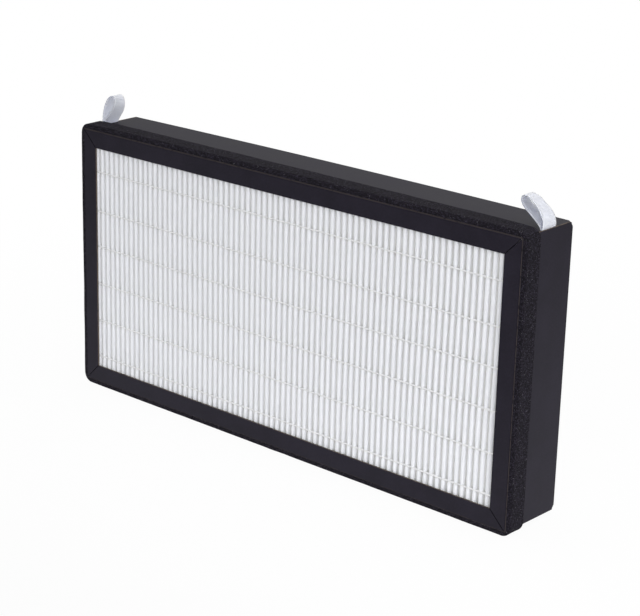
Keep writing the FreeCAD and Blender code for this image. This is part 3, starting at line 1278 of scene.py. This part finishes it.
    def build(self, finish: bpy.types.Material) -> None:
        """Make and dress the pack.

        Args:
            finish: the sheet's material.
        """
        p = self.places
        threads = p.thread_heights
        piece = self.tree().make(
            self.single_pleat(),
            "pleat_pack",
            {
                "Pleats": self.pleats,
                "Pitch": self.pitch,
                "First Nose": self.first_nose,
                "Pinch Depth": self.pinch_depth,
                "Pinch Reach": self.pinch_reach,
                "Squeeze": self.squeeze,
                "Wobble": self.wobble,
                "Unevenness": self.unevenness,
                "Lean": self.lean,
                "First Thread": threads[0],
                "Thread Pitch": (threads[-1] - threads[0]) / (len(threads) - 1),
                "Last Thread": float(len(threads) - 1),
                "Seed": self.seed,
                "Material": finish,
            },
        )
        self.trim_ends(piece)
        hand_over(piece, Slot.SHEET, "pleated_media")


@dataclass
class GlueThreads:
    """The glue threads on both faces, each a thin rope that dips between the noses.

    They stray by waver, over waver_length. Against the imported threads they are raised, and the one with the
    number low_thread, counted from 0 at the bottom, is lowered by low_by, to where the photo shows them.
    """

    places: Places
    pack: PleatPack
    radius: float = 0.54 * MM
    seat: float = 0.7 * MM
    sag: float = 0.2 * MM
    links_per_pleat: int = 6
    round_steps: int = 8
    end_gap: float = 0.2 * MM
    waver: float = 0.35 * MM
    waver_length: float = 14 * MM
    lump_length: float = 2.2 * MM
    raised: float = 0.4 * MM
    low_thread: float = 4.0
    low_by: float = 1.0 * MM

    @classmethod
    def drift(cls, tree: GeometryTree, x: Value, number: Value, seed: Value) -> bpy.types.NodeSocket:
        """How far a thread strays up or down from its straight line.

        Args:
            tree: the tree in the making.
            x: place along the filter.
            number: the thread's number from the bottom, from 0.
            seed: the pack's seed.

        Returns:
            Metres.
        """
        along = tree.calc("DIVIDE", x, cls.waver_length)
        wave = tree.times(tree.wander(seed, along, tree.times(number, 5.0)), cls.waver)
        is_low = tree.calc("COMPARE", number, cls.low_thread, 0.5)
        return tree.add(wave, tree.times(is_low, -cls.low_by), cls.raised)

    def tree(self) -> GeometryTree:
        """The tree that lays one thread across the noses."""
        tree = GeometryTree("glue_thread")
        start = tree.take("Start")
        end = tree.take("End")
        points = tree.take("Points", "Int")
        first_nose = tree.take("First Nose")
        pitch = tree.take("Pitch")
        seat_y = tree.take("Seat")
        sag = tree.take("Sag")
        height = tree.take("Height")
        number = tree.take("Number")
        radius = tree.take("Radius")
        seed = tree.take("Seed")
        finish = tree.take("Material", "Material")

        line = tree.node(
            "GeometryNodeCurvePrimitiveLine",
            Start=tree.node("ShaderNodeCombineXYZ", X=start),
            End=tree.node("ShaderNodeCombineXYZ", X=end),
        )
        line = tree.node("GeometryNodeResampleCurve", Curve=line, Count=points)
        x = tree.position()["X"]
        phase = tree.times(tree.calc("DIVIDE", tree.calc("SUBTRACT", x, first_nose), pitch), 2 * math.pi)
        in_valley = tree.add(0.5, tree.times(tree.calc("COSINE", phase), -0.5))
        y = tree.add(seat_y, tree.times(in_valley, sag))
        z = tree.add(height, GlueThreads.drift(tree, x, number, seed))
        moved = tree.node(
            "GeometryNodeSetPosition",
            Geometry=line,
            Position=tree.node("ShaderNodeCombineXYZ", X=x, Y=y, Z=z),
        )
        along = tree.calc("DIVIDE", x, self.lump_length)
        uneven = tree.wander(tree.add(seed, 60.0), along, tree.times(number, 4.0))
        share = tree.add(0.92, tree.times(in_valley, 0.16), tree.times(uneven, 0.14))
        sized = tree.node("GeometryNodeSetCurveRadius", Curve=moved, Radius=share)
        ring = tree.node("GeometryNodeCurvePrimitiveCircle", Resolution=self.round_steps, Radius=radius)
        rope = tree.nodes.new("GeometryNodeCurveToMesh")
        tree.feed(rope.inputs["Curve"], sized)
        tree.feed(rope.inputs["Profile Curve"], ring)
        rope.inputs["Fill Caps"].default_value = True
        smooth = tree.node("GeometryNodeSetShadeSmooth", Geometry=rope.outputs[0])
        dressed = tree.node("GeometryNodeSetMaterial", Geometry=smooth, Material=finish)
        whole = tree.node("GeometryNodeRealizeInstances", Geometry=dressed)
        tree.feed(tree.result.inputs["Geometry"], whole)
        return tree

    def build(self, finish: bpy.types.Material) -> None:
        """Make and dress all the threads.

        Args:
            finish: the glue's material.
        """
        p = self.places
        tree = self.tree()
        noses = {Face.FRONT: p.nose_front, Face.REAR: p.nose_rear}
        for face in Face:
            half_step = self.pack.pitch / 2 if face is Face.REAR else 0.0
            for number, height in enumerate(p.thread_heights):
                label = f"{face.name.lower()}_glue_thread_{number + 1}"
                host = object_from("thread_host", bpy.data.meshes.new("thread_host"))
                piece = tree.make(
                    host,
                    f"{face.name.lower()}_thread_{number + 1}",
                    {
                        "Start": p.pack_left + self.end_gap,
                        "End": p.pack_right - self.end_gap,
                        "Points": self.pack.pleats * self.links_per_pleat + 1,
                        "First Nose": self.pack.first_nose + half_step,
                        "Pitch": self.pack.pitch,
                        "Seat": noses[face] - face.value * self.seat,
                        "Sag": -face.value * self.sag,
                        "Height": height,
                        "Number": float(number),
                        "Radius": self.radius,
                        "Seed": self.pack.seed,
                        "Material": finish,
                    },
                )
                hand_over(piece, Slot.GLUE, label)


@dataclass(frozen=True)
class Lamp:
    """A square soft lamp that faces the filter, with its place and side in metres and its power in watts."""

    name: str
    place: tuple[float, float, float]
    side: float
    power: float
    aim: tuple[float, float, float] = (0, 0, 0.07)

    def hang(self) -> None:
        """Put the lamp into the scene."""
        data = bpy.data.lights.new(self.name, "AREA")
        data.size = self.side
        data.energy = self.power
        lamp = bpy.data.objects.new(self.name, data)
        lamp.location = self.place
        lamp.rotation_mode = "QUATERNION"
        lamp.rotation_quaternion = (Vector(self.aim) - Vector(self.place)).to_track_quat("-Z", "Y")
        bpy.context.scene.collection.objects.link(lamp)


@dataclass
class Studio:
    """A white floor, soft lamps and the camera at the photo's place.

    The camera's place and aim are measured from the middle of the front flange's lower edge. dim_far is how
    much darker the filter sees the floor in front and to the right, over dim_reach, and dim_left how much
    darker it mirrors the room to the left.
    """

    places: Places
    camera_place: Vector = field(default_factory=lambda: Vector((0.60951, -0.66353, 0.37422)))
    camera_aim: Vector = field(default_factory=lambda: Vector((0.0271, 0.00005, 0.0820)))
    camera_roll: float = math.radians(1.504)
    lens: float = 106.74
    floor_half: float = 4.0
    floor_white: float = 0.9
    ambient: float = 0.65
    shadow_share: float = 0.05
    shadow_reach: Pair = (0.2, 0.5)
    dim_far: float = 0.76
    dim_reach: Pair = (0.03, 0.4)
    dim_left: float = 0.4
    lamps: tuple[Lamp, ...] = (
        Lamp("front_lamp", (0.85, -1.4, 0.7), 1.2, 13.0),
        Lamp("side_lamp", (1.2, -0.2, 0.3), 0.7, 5.5),
        Lamp("top_lamp", (0.1, 0.5, 1.8), 1.2, 5.0),
    )

    def build_camera(self) -> None:
        """Place the camera."""
        data = bpy.data.cameras.new("photo_camera")
        data.lens = self.lens
        data.sensor_width = 36
        data.clip_start = 0.01
        camera = bpy.data.objects.new("photo_camera", data)
        camera.rotation_mode = "QUATERNION"
        edge = Vector((0, self.places.front, self.places.bottom))
        camera.location = edge + self.camera_place
        forward = self.camera_aim - self.camera_place
        turn = forward.to_track_quat("-Z", "Y")
        camera.rotation_quaternion = Quaternion(forward.normalized(), -self.camera_roll) @ turn
        bpy.context.scene.collection.objects.link(camera)
        bpy.context.scene.camera = camera

    def seen(self, maker: NodeMaker) -> bpy.types.NodeSocket:
        """1 where a ray comes from the camera or from a mirror or clear surface.

        Args:
            maker: the material or the world in the making.

        Returns:
            The socket.
        """
        path = maker.nodes.new("ShaderNodeLightPath")
        total = path.outputs["Is Camera Ray"]
        for name in ("Is Glossy Ray", "Is Transmission Ray"):
            total = maker.calc("MAXIMUM", total, path.outputs[name])
        return total

    def build_floor(self) -> None:
        """A wide white floor that keeps a soft shadow close to the filter."""
        size = self.floor_half
        mesh = bpy.data.meshes.new("floor")
        corners = [(-size, -size, 0), (size, -size, 0), (size, size, 0), (-size, size, 0)]
        mesh.from_pydata(corners, [], [(0, 1, 2, 3)])
        floor = object_from("floor", mesh)
        s = Shader("floor_paint")
        in_front = s.times(s.axis("Y"), -1.0)
        to_right = s.calc("SUBTRACT", s.axis("X"), self.places.right)
        lost = s.times(s.rise(s.calc("MAXIMUM", in_front, to_right), *self.dim_reach), self.dim_far)
        matt = s.node("ShaderNodeBsdfDiffuse", Color=s.times(s.calc("SUBTRACT", 1.0, lost), self.floor_white))
        mirrored = s.node("ShaderNodeLightPath", "Is Glossy Ray")
        level = s.calc("SUBTRACT", 1.0, s.times(mirrored, lost))
        white = s.node("ShaderNodeEmission", Color=(1, 1, 1, 1), Strength=level)
        away = s.nodes.new("ShaderNodeVectorMath")
        away.operation = "LENGTH"
        s.feed(away.inputs[0], s.place)
        far = s.times(s.rise(away.outputs["Value"], *self.shadow_reach), self.shadow_share)
        share = s.times(self.seen(s), s.add(far, 1 - self.shadow_share))
        both = s.nodes.new("ShaderNodeMixShader")
        s.feed(both.inputs[0], share)
        s.feed(both.inputs[1], matt)
        s.feed(both.inputs[2], white)
        s.feed(s.nodes["Material Output"].inputs["Surface"], both.outputs[0])
        floor.data.materials.append(s.material)

    def build_world(self) -> None:
        """Even light from all round, white behind the filter and darker to the left in reflections."""
        world = bpy.data.worlds.new("studio")
        world.use_nodes = True
        bpy.context.scene.world = world
        maker = NodeMaker(world.node_tree)
        sky = maker.nodes["Background"]
        sky.inputs["Color"].default_value = (1, 1, 1, 1)
        seen = self.seen(maker)
        level = maker.node("ShaderNodeMapRange", "Result", Value=seen, To_Min=self.ambient, To_Max=1.0)
        way = maker.node("ShaderNodeTexCoord", "Generated")
        to_left = maker.rise(maker.node("ShaderNodeSeparateXYZ", "X", Vector=way), -0.3, -0.85)
        mirrored = maker.node("ShaderNodeLightPath", "Is Glossy Ray")
        lost = maker.times(mirrored, to_left, self.dim_left)
        maker.feed(sky.inputs["Strength"], maker.calc("SUBTRACT", level, lost))

    def build(self) -> None:
        """Set up the whole studio."""
        bpy.context.scene.view_settings.view_transform = "Standard"
        self.build_camera()
        self.build_floor()
        self.build_world()
        for lamp in self.lamps:
            lamp.hang()


def dress_bedding(nodes: dict[str, bpy.types.Object], finish: bpy.types.Material) -> None:
    """Give the potting layers and the end glue their finish.

    Args:
        nodes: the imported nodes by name.
        finish: the glue's material.
    """
    for name in ("top_potting", "bottom_potting", "left_end_glue", "right_end_glue"):
        node = nodes[name]
        if not node.material_slots:
            node.data.materials.append(finish)
        node.material_slots[0].material = finish
        LOG.info("%s: packed mesh kept, with the glue's finish", name)


def main() -> None:
    """Build every piece of the filter and the studio round it."""
    logging.basicConfig(level=logging.INFO, format="%(name)s: %(message)s")
    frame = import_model()
    nodes = frame["nodes"]
    places = Places.from_frame(threads=6)
    BoardFrame(places).build(nodes)
    FoamSeal(places).build()
    sheet = NonWoven(front=places.nose_front, rear=places.nose_rear).material()
    pack = PleatPack(places)
    pack.build(sheet)
    glue = HotMelt().material()
    GlueThreads(places, pack).build(glue)
    dress_bedding(nodes, glue)
    ribbon = WovenRibbon().material()
    PullRibbon(
        places,
        Side.LEFT,
        front_edge=(
            (1.0, 1.9), (1.2, 4.4), (1.8, 7.3), (2.7, 10.4), (4.1, 13.2), (5.7, 15.3), (7.4, 16.5),
            (8.9, 16.9), (10.0, 16.6), (10.5, 15.2), (10.3, 13.0), (9.4, 10.6), (7.4, 7.9), (5.1, 5.3),
            (3.1, 2.9),
        ),
        back_edge=(
            (-0.1, 2.4), (-0.9, 5.0), (-1.2, 7.7), (-1.1, 10.5), (-0.3, 12.9), (1.4, 14.6), (3.1, 15.4),
            (4.9, 15.2), (6.2, 14.1), (6.8, 12.3), (6.8, 10.0), (6.1, 7.7), (4.8, 5.5), (2.9, 3.0),
            (1.7, 1.1),
        ),
        node="left_pull_ribbon",
    ).build(ribbon)
    PullRibbon(
        places,
        Side.RIGHT,
        front_edge=(
            (0.5, 2.6), (0.9, 5.1), (2.4, 8.0), (4.5, 10.6), (6.9, 12.7), (9.1, 14.0), (11.0, 14.5),
            (12.5, 13.9), (12.9, 12.3), (12.2, 10.3), (10.2, 8.2), (7.3, 6.0), (4.3, 3.6), (2.2, 1.5),
        ),
        back_edge=(
            (0.8, 1.4), (1.0, 3.0), (1.5, 4.5), (2.2, 5.9), (3.9, 7.6), (7.0, 9.9), (10.1, 12.1),
            (13.4, 13.1), (15.2, 13.0), (16.5, 12.2), (16.7, 10.6), (15.4, 9.2), (13.4, 7.7), (10.0, 5.9),
            (6.2, 3.8), (3.3, 1.8), (1.9, 0.6),
        ),
        node="right_pull_ribbon",
    ).build(ribbon)
    Studio(places).build()


if __name__ == "__main__":
    main()
